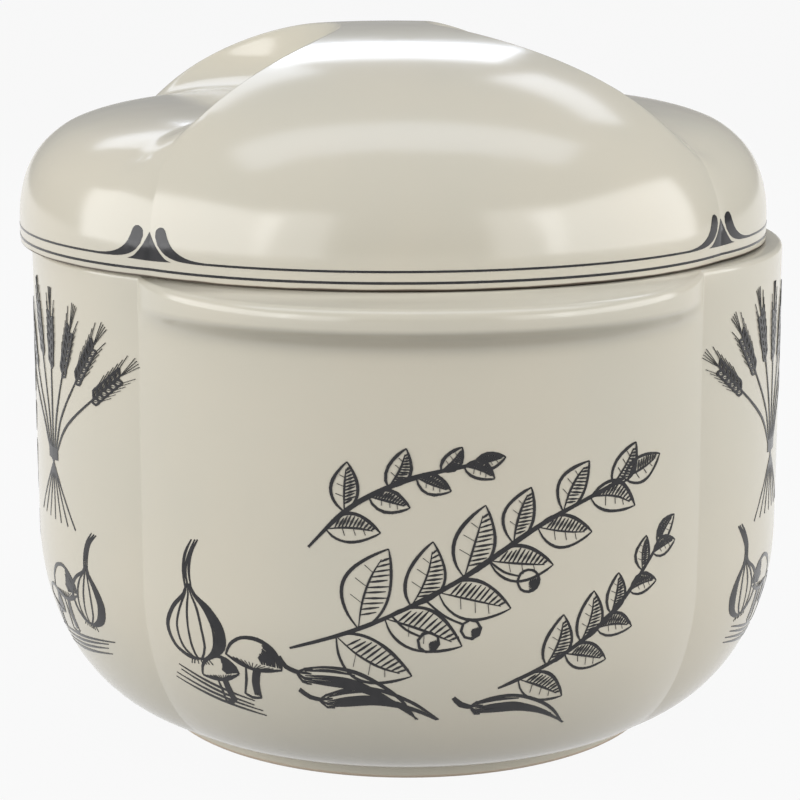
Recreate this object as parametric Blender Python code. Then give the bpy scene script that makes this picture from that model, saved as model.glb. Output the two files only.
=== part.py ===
"""A lidded stoneware terrine: a four-lobed pot and its four-lobed lid.

The pot stands on a round foot ring. A grip ledge runs along the top of its front and back lobes.
The lid's left and right lobes have a finger scoop each, which leave a ridge to lift it by, and a
flange under the lid keeps it in the pot's mouth. The lid lies as it was put down: a little off
the pot's centre and a little turned, within the play of its flange.

Sizes are in metres. +Z is up, -Y is the front, +X is the right, and the origin is the centre of
the foot ring's resting plane.
"""
import math

import bmesh
import bpy

# Mesh: steps around one lobe, and how sharp an edge must be to stay a crease
LOBE_STEPS = 20
CREASE_ANGLE = math.radians(38)

# How round the lobes are: 2 is nearly an arc from seam to seam, more gives sharper seams
LOBE_POWER = 3.2

# Pot, from its axis to the middle of a lobe and to the seam between two lobes
POT_HALF = 0.1194
POT_SEAM = 0.1150
POT_TAPER = 0.0006
POT_HEIGHT = 0.1529
POT_WALL = 0.0060
POT_FLOOR = 0.0070

# Belly: the curve from the foot ring out to the upright wall
BELLY_HEIGHT = 0.0615
BELLY_POWER = 1.96
BELLY_RINGS = 10

# Foot ring
FOOT_RADIUS = 0.0813
FOOT_WIDTH = 0.0060
FOOT_HEIGHT = 0.0054
FOOT_RECESS = 0.0032
FOOT_ROUND = 0.0008

# Rim that the lid rests on
RIM_WIDTH = 0.0080
RIM_ROUND = 0.0015
RIM_DEPTH = 0.0080

# Grip ledges along the front and back lobes: how far they stand out, how far their edge lies below
# the rim, the height and rounding of their face, and the height of the hollow under them
LEDGE_REACH = 0.0112
LEDGE_FALL = 0.0023
LEDGE_FACE = 0.0089
LEDGE_ROUND = 0.0033
LEDGE_HOLLOW = 0.0092

# Lid, in its own frame, whose height 0 is the underside that rests on the rim
LID_HALF = 0.1185
LID_SEAM = 0.1160
LID_WALL = 0.0050
LID_EDGE_ROUND = 0.0008
LID_SKIRT = 0.0071
LID_DOME = 0.0591
LID_DOME_POWER = 2.72
DOME_RINGS = 22
LID_GAP = 0.0003

# Valleys between the lid's lobes: how much deeper they are at its shoulder than at its edge, and
# the share of the way out at which they are deepest
LID_VALLEY = 0.0027
LID_VALLEY_SHARE = 0.92

# Finger scoops: oval cuts about an upright axis at each side of the ridge, a little narrower from
# front to back. The ridge and the scoops lie a little off the lid's middle. Their floor is the low
# top of the side lobes: its height over the skirt, and how far it falls towards the edge
SCOOP_AXIS = 0.1043
SCOOP_NARROWING = 1.081
RIDGE_OFFSET_X = -0.0031
RIDGE_OFFSET_Y = -0.0010
SCOOP_FLOOR = 0.0360
SCOOP_FLOOR_FALL = 0.516
SCOOP_FLOOR_POWER = 6.6
SCOOP_FLOOR_RADIUS = 0.0699
SCOOP_FLOOR_RINGS = 12
SCOOP_FILLET = 0.0172
SCOOP_FILLET_RINGS = 6
SCOOP_WALL_ANGLE = math.radians(75)
SCOOP_STEPS = 72

# Flange under the lid
FLANGE_PLAY = 0.0080
FLANGE_WIDTH = 0.0050
FLANGE_DEPTH = 0.0090
FLANGE_ROUND = 0.0010

# Where the lid was put down
LID_SHIFT_X = -0.0042
LID_SHIFT_Y = 0.0032
LID_TWIST = math.radians(5.6)

# Glaze
GLAZE_COLOUR = (0.66, 0.61, 0.50, 1.0)
GLAZE_ROUGHNESS = 0.22


def clear_scene():
    """Remove every object of the file."""
    for old in list(bpy.data.objects):
        bpy.data.objects.remove(old, do_unlink=True)


def lobe_turn(angle):
    """How far a plan angle is from a lobe's middle: 0 there and 1 on the seams beside it."""
    quarter = math.pi / 2
    return abs(angle - quarter * round(angle / quarter)) / (quarter / 2)


def lobe_radius(angle, half, seam):
    """Distance from the axis to a four-lobed outline, half mid-lobe and seam on the seams."""
    return half - (half - seam) * lobe_turn(angle) ** LOBE_POWER


def ring_angles():
    """Plan angles of a ring's points, with one on each seam and each lobe's middle."""
    count = 4 * LOBE_STEPS
    return [2 * math.pi * k / count for k in range(count)]


def ledge_share(angle):
    """1 mid-lobe at the front and the back, 0 on the seams and along the side lobes."""
    if abs(math.cos(angle)) > abs(math.sin(angle)):
        return 0.0
    return 1 - lobe_turn(angle) ** 2


def level_ring(height, half, seam):
    """Points of a level four-lobed ring. With both sizes equal it is a circle."""
    points = []
    for angle in ring_angles():
        radius = lobe_radius(angle, half, seam)
        points.append((radius * math.cos(angle), radius * math.sin(angle), height))
    return points


def offset_ring(height, inset):
    """A level ring of the pot's upright wall, moved in by a distance."""
    return level_ring(height, POT_HALF - inset, POT_SEAM - inset)


def belly_rings(foot_radius, low, inset):
    """Rings of the belly, from the foot's circle at height low out to the upright wall."""
    rings = []
    for k in range(1, BELLY_RINGS + 1):
        turn = math.pi / 2 * (k / BELLY_RINGS) ** 1.5
        spread = math.sin(turn) ** (2 / BELLY_POWER)
        climb = 1 - max(math.cos(turn), 0.0) ** (2 / BELLY_POWER)
        half = foot_radius + (POT_HALF - inset - foot_radius) * spread
        seam = foot_radius + (POT_SEAM - inset - foot_radius) * spread
        height = low + (BELLY_HEIGHT - low) * climb
        rings.append(level_ring(height, half, seam))
    return rings


def foot_rings():
    """Rings of the foot, from the recess under the pot out to the joint with the belly."""
    inner = FOOT_RADIUS - FOOT_WIDTH
    steps = (
        (inner, FOOT_RECESS),
        (inner, FOOT_ROUND),
        (inner + FOOT_ROUND, 0.0),
        (FOOT_RADIUS - FOOT_ROUND, 0.0),
        (FOOT_RADIUS, FOOT_ROUND),
        (FOOT_RADIUS, FOOT_HEIGHT),
    )
    return [level_ring(height, radius, radius) for radius, height in steps]


def ledge_ring(height, inset, reach, fall):
    """A ring of the wall near the rim, pushed out and lowered along the front and back lobes."""
    ring = []
    for angle in ring_angles():
        share = ledge_share(angle)
        radius = lobe_radius(angle, POT_HALF - inset, POT_SEAM - inset) + reach * share
        ring.append((radius * math.cos(angle), radius * math.sin(angle), height - fall * share))
    return ring


def wall_rings():
    """Rings of the upright wall, the ledges and the rim's outer edge, going up."""
    ledge_low = POT_HEIGHT - LEDGE_FALL - LEDGE_FACE
    wall_top = ledge_low - LEDGE_HOLLOW
    rings = []
    for share in (0.2, 0.4, 0.6, 0.8):
        height = BELLY_HEIGHT + share * (wall_top - BELLY_HEIGHT)
        rings.append(offset_ring(height, POT_TAPER * share ** 2))
    hollow = (
        (-1.0, 0.0), (-0.7, 0.03), (-0.42, 0.11), (-0.2, 0.27), (-0.05, 0.50), (0.08, 0.74),
        (0.22, 0.92), (0.4, 1.0),
    )
    for rise, reach in hollow:
        height = ledge_low + rise * LEDGE_HOLLOW
        rings.append(ledge_ring(height, POT_TAPER, reach * LEDGE_REACH, 0.0))
    for turn in (0.0, math.pi / 6, math.pi / 3, math.pi / 2):
        back, drop = 1 - math.cos(turn), 1 - math.sin(turn)
        inset = POT_TAPER + RIM_ROUND * back
        reach = LEDGE_REACH - (LEDGE_ROUND - RIM_ROUND) * back
        fall = LEDGE_FALL + (LEDGE_ROUND - RIM_ROUND) * drop
        rings.append(ledge_ring(POT_HEIGHT - RIM_ROUND * drop, inset, reach, fall))
    rings.append(ledge_ring(POT_HEIGHT, POT_TAPER + 1.5 * RIM_ROUND, 0.0, LEDGE_FALL / 4))
    rings.append(ledge_ring(POT_HEIGHT, POT_TAPER + 2.4 * RIM_ROUND, 0.0, 0.0))
    return rings


def inside_rings():
    """Rings of the pot's inside, from the rim down to its floor."""
    mouth = POT_TAPER + RIM_WIDTH
    rings = [
        offset_ring(POT_HEIGHT, mouth - FOOT_ROUND),
        offset_ring(POT_HEIGHT - FOOT_ROUND, mouth),
        offset_ring(POT_HEIGHT - RIM_DEPTH, mouth),
        offset_ring(POT_HEIGHT - 2 * RIM_DEPTH, POT_WALL),
    ]
    floor = FOOT_RECESS + POT_FLOOR
    inner_foot = FOOT_RADIUS - FOOT_WIDTH
    rings.extend(reversed(belly_rings(inner_foot, floor, POT_WALL)))
    return rings


def dome_ring(share, wall):
    """Ring of the lid's dome at a share of the way from its axis to its edge.

    With a wall thickness it is the surface inside the lid, under that wall.
    """
    height = LID_SKIRT + max(LID_DOME * math.sqrt(1 - share ** LID_DOME_POWER) - wall, 0.0)
    valley = LID_VALLEY * min((1 - share) / (1 - LID_VALLEY_SHARE), 1.0)
    return level_ring(height, share * (LID_HALF - wall), share * (LID_SEAM - valley - wall))


def lid_level_ring(height, inset):
    """A level ring of the lid's edge, moved in by a distance."""
    return level_ring(height, LID_HALF - inset, LID_SEAM - inset)


def flange_ring(height, inset):
    """A level ring of the flange, moved in from its outer face by a distance."""
    mouth = POT_TAPER + RIM_WIDTH
    half = POT_HALF - mouth - FLANGE_PLAY - inset
    seam = POT_SEAM - mouth - FLANGE_PLAY - inset
    return level_ring(height, half, seam)


def scoop_rings(side, wall):
    """Rings of a finger scoop's tool, from the middle of its floor up its fillet and wall.

    side is 1 for the right scoop and -1 for the left one. With a wall thickness the tool is
    larger by it, for the surface inside the lid.
    """
    axis = RIDGE_OFFSET_X + side * SCOOP_AXIS
    profile = []
    for k in range(1, SCOOP_FLOOR_RINGS + 1):
        profile.append((SCOOP_FLOOR_RADIUS * k / SCOOP_FLOOR_RINGS, 0.0))
    for k in range(1, SCOOP_FILLET_RINGS + 1):
        turn = SCOOP_WALL_ANGLE * k / SCOOP_FILLET_RINGS
        out = SCOOP_FILLET * math.sin(turn)
        profile.append((SCOOP_FLOOR_RADIUS + out, SCOOP_FILLET * (1 - math.cos(turn))))
    out, rise = profile[-1]
    profile.append((out + (LID_DOME - rise) / math.tan(SCOOP_WALL_ANGLE), LID_DOME))
    rings = []
    for radius, rise in profile:
        ring = []
        for k in range(SCOOP_STEPS):
            turn = 2 * math.pi * k / SCOOP_STEPS
            x = axis + (radius + wall) * math.cos(turn)
            y = RIDGE_OFFSET_Y + (radius / SCOOP_NARROWING + wall) * math.sin(turn)
            ring.append((x, y, scoop_floor(x, y) - wall + rise))
        rings.append(ring)
    return rings


def scoop_floor(x, y):
    """Height of the low top of a side lobe at a point of the lid's plan."""
    edge = lobe_radius(math.atan2(y, x), LID_HALF, LID_SEAM)
    share = min(math.hypot(x, y) / edge, 1.0)
    return LID_SKIRT + SCOOP_FLOOR * (1 - SCOOP_FLOOR_FALL * share ** SCOOP_FLOOR_POWER)


def skin(rings, start, end):
    """One closed mesh over a run of rings, with a middle point closing each end."""
    shape = bmesh.new()
    loops = [[shape.verts.new(point) for point in ring] for ring in rings]
    count = len(loops[0])
    for lower, upper in zip(loops, loops[1:]):
        for k in range(count):
            after = (k + 1) % count
            shape.faces.new((lower[k], lower[after], upper[after], upper[k]))
    first = shape.verts.new(start)
    last = shape.verts.new(end)
    for k in range(count):
        after = (k + 1) % count
        shape.faces.new((first, loops[0][after], loops[0][k]))
        shape.faces.new((last, loops[-1][k], loops[-1][after]))
    bmesh.ops.recalc_face_normals(shape, faces=shape.faces)
    return shape


def glaze():
    """The warm ivory glaze that covers both pieces."""
    material = bpy.data.materials.new("ivory_glaze")
    material.use_nodes = True
    shader = material.node_tree.nodes["Principled BSDF"]
    shader.inputs["Base Color"].default_value = GLAZE_COLOUR
    shader.inputs["Roughness"].default_value = GLAZE_ROUGHNESS
    shader.inputs["Metallic"].default_value = 0.0
    material.diffuse_color = GLAZE_COLOUR
    return material


def add_object(name, shape, material):
    """Turn a bmesh into a named object with a material and smooth shading."""
    mesh = bpy.data.meshes.new(name)
    shape.to_mesh(mesh)
    shape.free()
    mesh.materials.append(material)
    mesh.shade_smooth()
    mesh.set_sharp_from_angle(angle=CREASE_ANGLE)
    piece = bpy.data.objects.new(name, mesh)
    bpy.context.scene.collection.objects.link(piece)
    return piece


def make_pot():
    """The pot: foot ring, belly, wall, ledges, rim and inside in one fired piece."""
    rings = foot_rings()
    rings += belly_rings(FOOT_RADIUS, FOOT_HEIGHT, 0.0)
    rings += wall_rings()
    rings += inside_rings()
    under = (0.0, 0.0, FOOT_RECESS)
    floor = (0.0, 0.0, FOOT_RECESS + POT_FLOOR)
    return add_object("pot", skin(rings, under, floor), glaze())


def add_tool(name, shape, lid):
    """A hidden tool that is cut out of the lid, and moves with it."""
    tool = add_object(name, shape, glaze())
    tool.parent = lid
    tool.hide_render = True
    tool.display_type = "WIRE"
    return tool


def cut(piece, tool):
    """Cut a tool out of a piece."""
    boolean = piece.modifiers.new(tool.name, "BOOLEAN")
    boolean.operation = "DIFFERENCE"
    boolean.solver = "EXACT"
    boolean.object = tool


def cut_scoops(piece, lid, wall, words):
    """Cut both finger scoops out of the lid, or out of the tool that hollows it."""
    for side, place in ((1, "right"), (-1, "left")):
        axis = RIDGE_OFFSET_X + side * SCOOP_AXIS
        low = (axis, RIDGE_OFFSET_Y, scoop_floor(axis, RIDGE_OFFSET_Y) - wall)
        high = (axis, RIDGE_OFFSET_Y, LID_SKIRT + SCOOP_FLOOR + LID_DOME)
        shape = skin(scoop_rings(side, wall), low, high)
        cut(piece, add_tool(f"{place}_{words}", shape, lid))


def lid_blank():
    """The lid before it is hollowed: dome, skirt, resting edge and a solid flange."""
    shares = [math.sin(math.pi / 2 * k / DOME_RINGS) for k in range(1, DOME_RINGS)]
    rings = [dome_ring(share, 0.0) for share in shares]
    rings.append(lid_level_ring(LID_SKIRT, 0.0))
    rings.append(lid_level_ring(LID_EDGE_ROUND, 0.0))
    rings.append(lid_level_ring(0.0, LID_EDGE_ROUND))
    rings.append(flange_ring(0.0, 0.0))
    rings.append(flange_ring(FLANGE_ROUND - FLANGE_DEPTH, 0.0))
    rings.append(flange_ring(-FLANGE_DEPTH, FLANGE_ROUND))
    return skin(rings, (0.0, 0.0, LID_SKIRT + LID_DOME), (0.0, 0.0, -FLANGE_DEPTH))


def lid_hollow():
    """The space inside the lid, down through the flange and out below it."""
    rings = []
    for k in range(1, DOME_RINGS):
        rings.append(dome_ring(math.sin(math.pi / 2 * k / DOME_RINGS), LID_WALL))
    rings.append(lid_level_ring(LID_WALL, 2 * LID_WALL))
    rings.append(flange_ring(LID_EDGE_ROUND, FLANGE_WIDTH))
    rings.append(flange_ring(FLANGE_ROUND - FLANGE_DEPTH, FLANGE_WIDTH))
    rings.append(flange_ring(-FLANGE_ROUND - FLANGE_DEPTH, FLANGE_WIDTH - 2 * FLANGE_ROUND))
    ceiling = (0.0, 0.0, LID_SKIRT + LID_DOME - LID_WALL)
    return skin(rings, ceiling, (0.0, 0.0, -FLANGE_ROUND - FLANGE_DEPTH))


def make_lid():
    """The lid: top with its two scoops, resting edge, flange and inside in one fired piece."""
    lid = add_object("lid", lid_blank(), glaze())
    lid.location = (LID_SHIFT_X, LID_SHIFT_Y, POT_HEIGHT + LID_GAP)
    lid.rotation_euler = (0.0, 0.0, LID_TWIST)
    cut_scoops(lid, lid, 0.0, "scoop")
    hollow = add_tool("hollow", lid_hollow(), lid)
    cut_scoops(hollow, lid, LID_WALL, "scoop_inside")
    cut(lid, hollow)
    return lid


def main():
    clear_scene()
    make_pot()
    make_lid()


if __name__ == "__main__":
    main()
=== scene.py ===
"""Stoneware terrine: the glazed pot and lid, their painted lines and the pen-drawn herbs.

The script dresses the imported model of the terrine. It is laid out as an add-on and run as a
script: each piece has its own operator, and main() calls them in order.
"""
import math
import random

import bmesh
import bpy
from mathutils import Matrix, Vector
from mathutils.geometry import delaunay_2d_cdt
from mathutils.kdtree import KDTree


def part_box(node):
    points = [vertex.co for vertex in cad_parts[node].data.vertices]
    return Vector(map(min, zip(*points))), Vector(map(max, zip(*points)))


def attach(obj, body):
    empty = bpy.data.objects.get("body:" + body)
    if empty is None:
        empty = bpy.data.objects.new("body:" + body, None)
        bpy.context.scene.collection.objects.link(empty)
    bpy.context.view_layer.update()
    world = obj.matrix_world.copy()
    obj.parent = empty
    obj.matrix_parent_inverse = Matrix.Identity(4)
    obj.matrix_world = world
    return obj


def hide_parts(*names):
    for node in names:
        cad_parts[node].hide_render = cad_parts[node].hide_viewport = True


bl_info = {
    "name": "Stoneware Terrine",
    "version": (1, 0, 0),
    "blender": (4, 5, 0),
    "location": "3D View > Sidebar > Terrine",
    "description": "Glazed pot and lid with painted lines and pen-drawn herbs",
    "category": "Add Mesh",
}

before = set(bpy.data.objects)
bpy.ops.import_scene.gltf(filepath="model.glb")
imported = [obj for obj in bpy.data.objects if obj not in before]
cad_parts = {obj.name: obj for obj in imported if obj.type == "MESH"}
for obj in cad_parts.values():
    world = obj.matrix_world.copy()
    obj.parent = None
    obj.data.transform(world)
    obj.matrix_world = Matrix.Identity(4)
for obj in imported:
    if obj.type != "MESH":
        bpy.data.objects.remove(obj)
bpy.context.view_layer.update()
POT_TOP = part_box("pot")[1].z
QUARTER = math.pi / 2

# Power of the lobes' outline: higher makes rounder lobes with sharper seams
ROUNDNESS = 3.2

# How closely the points round a piece crowd along its seams: 0 is evenly, 1 fully
SEAM_CROWDING = 0.86

# Radius that turns a distance along the lid's edge into an angle
LID_ROUND = 0.1176

# Points closer together than this are merged
MERGE_DISTANCE = 1e-6

# Radius of a new ring, before its points are placed
START_RADIUS = 0.1


# Properties

def length(name, description, default):
    """A property that holds a length in metres."""
    return bpy.props.FloatProperty(
        name=name, description=description, default=default, precision=5, unit="LENGTH"
    )


def number(name, description, default, low=0.0, high=100.0):
    """A property that holds a plain number."""
    return bpy.props.FloatProperty(
        name=name, description=description, default=default, min=low, max=high, precision=3
    )


def count(name, description, default):
    """A property that holds how many of something there are."""
    return bpy.props.IntProperty(name=name, description=description, default=default, min=1)


def angle_of(name, description, degrees):
    """A property that holds an angle, given in degrees."""
    return bpy.props.FloatProperty(
        name=name, description=description, default=math.radians(degrees), subtype="ANGLE"
    )


def colour(name, description, default):
    """A property that holds a linear colour."""
    return bpy.props.FloatVectorProperty(
        name=name, description=description, default=default, size=3, subtype="COLOR", min=0, max=1
    )


class PotSizes(bpy.types.PropertyGroup):
    """Sizes of the pot."""

    half: length("Half", "From the axis to the middle of a lobe", 0.11931)
    seam: length("Seam", "From the axis to the seam between two lobes", 0.1150)
    taper: length("Taper", "How far the wall leans in at the rim", 0.0006)
    wall: length("Wall", "Thickness of the wall", 0.006)
    floor: length("Floor", "Thickness of the floor", 0.007)
    belly_height: length("Belly Height", "Where the belly meets the upright wall", 0.0615)
    belly_power: number("Belly Power", "Power of the belly's curve", 1.96)
    foot_radius: length("Foot Radius", "Outer radius of the foot ring", 0.0813)
    foot_width: length("Foot Width", "Width of the foot ring", 0.006)
    foot_height: length("Foot Height", "Height of the foot ring", 0.0054)
    foot_recess: length("Foot Recess", "Depth of the recess in the foot ring", 0.0032)
    edge_round: length("Edge Round", "Rounding of the foot and of the mouth", 0.0008)
    rim_width: length("Rim Width", "Width of the rim", 0.008)
    rim_round: length("Rim Round", "Rounding of the rim's outer edge", 0.0015)
    rim_depth: length("Rim Depth", "Height of the mouth's upright inside", 0.008)
    ledge_reach: length("Ledge Reach", "How far the grip ledges stand out", 0.0112)
    ledge_fall: length("Ledge Fall", "How far the ledges' edge lies below the rim", 0.0023)
    ledge_face: length("Ledge Face", "Height of the ledges' rounded face", 0.0089)
    ledge_round: length("Ledge Round", "Rounding of the ledges' edge", 0.0033)
    ledge_hollow: length("Ledge Hollow", "Height of the hollow under the ledges", 0.0092)
    steps: count("Steps", "Points round the pot", 192)


class LidSizes(bpy.types.PropertyGroup):
    """Sizes of the lid, whose height 0 is its underside."""

    half: length("Half", "From the axis to the middle of a lobe", 0.1184)
    seam: length("Seam", "From the axis to the seam between two lobes", 0.1160)
    wall: length("Wall", "Thickness of the lid", 0.005)
    edge_round: length("Edge Round", "Rounding of the lower edge", 0.0008)
    skirt: length("Skirt", "Height of the upright edge", 0.0071)
    dome: length("Dome", "Height of the dome over the skirt", 0.0591)
    dome_power: number("Dome Power", "Power of the dome's curve", 2.72)
    gap: length("Gap", "Space between the lid and the rim", 0.0003)
    valley: length("Valley", "How much deeper the seams are at the shoulder", 0.0027)
    valley_share: number("Valley Share", "Share of the way out where they are deepest", 0.92)
    edge_lean: angle_of("Edge Lean", "How much wider the front lobe is at each side", 0.8)
    valley_lean: angle_of("Valley Lean", "How much wider still it is at the shoulder", 1.8)
    lobes_turn: angle_of("Lobes Turn", "How far the lobes are turned against the ridge", 1.4)
    scoop_axis: length("Scoop Axis", "From the ridge's middle to the axis of a scoop", 0.1043)
    scoop_narrowing: number("Scoop Narrowing", "How much narrower a scoop is front to back", 1.081)
    ridge_x: length("Ridge X", "How far the ridge lies to the right", -0.0031)
    ridge_y: length("Ridge Y", "How far the ridge lies to the back", -0.0010)
    scoop_floor: length("Scoop Floor", "Height of the side lobes over the skirt", 0.0360)
    scoop_fall: number("Scoop Fall", "Share of that height lost at the edge", 0.516)
    scoop_power: number("Scoop Power", "Power of that fall", 6.6)
    scoop_radius: length("Scoop Radius", "Radius of a scoop's floor", 0.0699)
    scoop_fillet: length("Scoop Fillet", "Radius of the hollow beside the ridge", 0.0172)
    scoop_angle: angle_of("Scoop Angle", "Steepness of the ridge's sides", 75)
    crest_round: length("Crest Round", "Softness of the ridge's edges", 0.0042)
    shoulder_round: length("Shoulder Round", "Softness of the side lobes' shoulders", 0.007)
    patch_share: number("Patch Share", "Share of the top that is meshed along the crests", 0.93)
    flange_play: length("Flange Play", "Play of the flange in the mouth", 0.008)
    flange_width: length("Flange Width", "Thickness of the flange", 0.005)
    flange_depth: length("Flange Depth", "Height of the flange", 0.009)
    flange_round: length("Flange Round", "Rounding of the flange", 0.001)
    shift_x: length("Shift X", "How far right of the pot's axis the lid lies", -0.0042)
    shift_y: length("Shift Y", "How far behind the pot's axis the lid lies", 0.0032)
    twist: angle_of("Twist", "How far the lid is turned in the mouth", 5.6)
    steps: count("Steps", "Points round the lid", 256)


class PaintSizes(bpy.types.PropertyGroup):
    """Sizes of the painted lines, the seam ornaments and the drawings."""

    low_width: length("Low Width", "Width of the lower line", 0.00072)
    high_width: length("High Width", "Width of the upper line", 0.00064)
    low_line: length("Low Line", "Height of the lower line over the lid's edge", 0.0023)
    high_line: length("High Line", "Height of the upper line over the lid's edge", 0.0054)
    thickness: length("Thickness", "Thickness of the paint, half of it over the glaze", 0.00016)
    pen: length("Pen", "Width of a pen stroke", 0.00092)


class Finishes(bpy.types.PropertyGroup):
    """Colours and gloss of the glaze, the clay and the paint."""

    glaze: colour("Glaze", "Warm ivory of the glaze", (0.600, 0.565, 0.466))
    thin_glaze: colour("Thin Glaze", "Where the glaze runs thin", (0.628, 0.582, 0.474))
    speck: colour("Speck", "Iron specks in the glaze", (0.16, 0.12, 0.085))
    clay: colour("Clay", "Bare clay under the foot ring", (0.56, 0.46, 0.36))
    # The seat's colour is much darker than the bare clay under the foot: it is bare clay of the
    # lid's edge with painted shade, which stands in for the contact shadow between lid and rim
    shaded_seat: colour("Seat", "Bare clay of the lid's seat, darkened by use", (0.10, 0.075, 0.055))
    black: colour("Black", "Fired black paint", (0.007, 0.007, 0.009))
    thin_black: colour("Thin Black", "Where the paint is thin", (0.015, 0.014, 0.016))
    glaze_roughness: number("Glaze Roughness", "Roughness of the glaze at its glossiest", 0.145)
    glaze_index: number("Glaze Index", "Refractive index of the glaze", 1.60)
    black_roughness: number("Black Roughness", "Roughness of the paint at its glossiest", 0.12)
    black_index: number("Black Index", "Refractive index of the paint", 1.48)


class StageSetting(bpy.types.PropertyGroup):
    """The photograph's viewpoint and the studio."""

    camera_place: bpy.props.FloatVectorProperty(
        name="Camera Place", description="Where the camera stands",
        default=(-0.03799, -0.69897, 0.25107), subtype="TRANSLATION", precision=5,
    )
    camera_tilt: bpy.props.FloatProperty(
        name="Camera Tilt", description="How far the camera looks down", default=0.215,
        subtype="ANGLE",
    )
    camera_turn: bpy.props.FloatProperty(
        name="Camera Turn", description="How far the camera looks to the right", default=0.051,
        subtype="ANGLE",
    )
    lens: number("Lens", "Focal length in millimetres on a 36 mm sensor", 98.94, 1.0, 500.0)
    room: number("Room", "Brightness of the room", 0.28)
    floor_grey: number("Floor Grey", "How much light the floor gives back", 0.30)
    white_floor: number("White Floor", "Share of plain white in the floor that is seen", 0.93)


# Modelling

def start_ring(name, steps, place):
    """A new piece in edit mode: one ring whose points place(angle) puts."""
    bpy.ops.object.select_all(action="DESELECT")
    bpy.ops.mesh.primitive_circle_add(vertices=steps, radius=START_RADIUS)
    piece = bpy.context.object
    piece.name = name
    piece.data.name = name
    bpy.ops.object.mode_set(mode="EDIT")
    bpy.ops.mesh.select_mode(type="EDGE")
    bpy.ops.mesh.select_all(action="SELECT")
    place_selected(piece, lambda angle: place(crowd(angle)))
    return piece


def place_selected(piece, place):
    """Put each selected point where place(angle) says, by its plan angle."""
    shape = bmesh.from_edit_mesh(piece.data)
    for point in shape.verts:
        if point.select:
            point.co = place(math.atan2(point.co.y, point.co.x))
    bmesh.update_edit_mesh(piece.data)


def add_ring(piece, place):
    """Extrude the selected ring to a new one."""
    bpy.ops.mesh.extrude_edges_move(TRANSFORM_OT_translate={"value": (0.0, 0.0, 0.0)})
    place_selected(piece, place)


def close_ring():
    """Fill the selected ring with a face."""
    bpy.ops.mesh.edge_face_add()


def select_only(*pieces):
    """Select these pieces alone, with the first one active."""
    bpy.ops.object.select_all(action="DESELECT")
    for piece in pieces:
        piece.select_set(True)
    bpy.context.view_layer.objects.active = pieces[0]


def finish_mesh(smooth_angle):
    """Merge what touches, turn the faces outwards and shade the edited piece smooth."""
    bpy.ops.mesh.select_all(action="SELECT")
    bpy.ops.mesh.remove_doubles(threshold=MERGE_DISTANCE)
    bpy.ops.mesh.normals_make_consistent(inside=False)
    bpy.ops.object.mode_set(mode="OBJECT")
    bpy.ops.object.shade_smooth_by_angle(angle=smooth_angle)


def apply_solidify(piece, thickness):
    """Give the placed paint a thickness, half of it over the glaze."""
    shell = piece.modifiers.new("paint", "SOLIDIFY")
    shell.thickness = thickness
    shell.offset = 0.0
    shell.use_even_offset = False
    bpy.ops.object.modifier_apply(modifier=shell.name)


def lobe_turn(angle, lean=0.0):
    """How far a plan angle is from a lobe's middle: 0 there and 1 on the seams beside it.

    With a lean the front and back lobes are wider by it at each side.
    """
    off = math.acos(min(abs(math.sin(angle)), 1.0))
    if off < QUARTER / 2 + lean:
        return off / (QUARTER / 2 + lean)
    return (QUARTER - off) / (QUARTER / 2 - lean)


def outline(angle, half, seam, lean=0.0):
    """Distance from the axis to a four-lobed outline."""
    return half - (half - seam) * lobe_turn(angle, lean) ** ROUNDNESS


def crowd(angle, lean=0.0):
    """Move a plan angle towards the nearest seam, so that points lie close along the seams."""
    lobe = round(angle / QUARTER)
    turn = (angle - lobe * QUARTER) / (QUARTER / 2)
    turn += SEAM_CROWDING * math.sin(math.pi * turn) / math.pi
    return lobe * QUARTER + turn * (QUARTER / 2 + (lean if lobe % 2 else -lean))


def polar(angle, radius, height):
    """A point from its plan angle, its distance from the axis and its height."""
    return Vector((radius * math.cos(angle), radius * math.sin(angle), height))


def smooth_step(value):
    """0 below 0, 1 above 1 and a smooth rise between."""
    value = min(max(value, 0.0), 1.0)
    return value * value * (3 - 2 * value)


def quarter_round(radius, steps):
    """The points of a rounded edge, from its side to its end face: (how far in, how far short)."""
    turns = [QUARTER * k / steps for k in range(steps + 1)]
    return [(radius * (1 - math.cos(turn)), radius * (1 - math.sin(turn))) for turn in turns]


# Pot

# Rings of the belly's outside and inside, the wall, the ledges' hollow and the mouth's slope
BELLY_RINGS = 30
INSIDE_RINGS = 20
WALL_RINGS = 14
HOLLOW_RINGS = 24
MOUTH_RINGS = 6

# The belly's first ring, past the foot's rounding
FIRST_BELLY_RING = 3

# Steps of the rim's rounding, and of the foot's and the mouth's
RIM_STEPS = 8
EDGE_STEPS = 3

# Power that crowds the belly's rings towards the foot
BELLY_CROWDING = 1.5

# Powers by which the ledges, and the fall of their edge, fade towards the seams
LEDGE_FADE = 2.6
FALL_FADE = 0.55

# The curve under the ledges: how far it climbs, in heights of the hollow, and its two powers
HOLLOW_CLIMB = 1.4
HOLLOW_START = 4
HOLLOW_END = 2.9

# Rings that level the ledges with the rim: inset in rim roundings, share of reach, share of fall
LEDGE_TOP = ((1.25, 0.5, 0.62), (1.5, 0.0, 0.25), (1.9, 0.0, 0.06), (2.4, 0.0, 0.0))


def ledge_share(angle):
    """1 mid-lobe at the front and the back, 0 on the seams and along the side lobes."""
    if abs(math.cos(angle)) > abs(math.sin(angle)):
        return 0.0
    return 1 - lobe_turn(angle) ** LEDGE_FADE


def pot_place(height, half, seam, reach=0.0, fall=0.0):
    """The placing rule of one ring of the pot, with a ledge's reach and fall at mid-lobe."""
    def place(angle):
        share = ledge_share(angle)
        radius = outline(angle, half, seam) + reach * share
        return polar(angle, radius, height - fall * share ** FALL_FADE)
    return place


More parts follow.
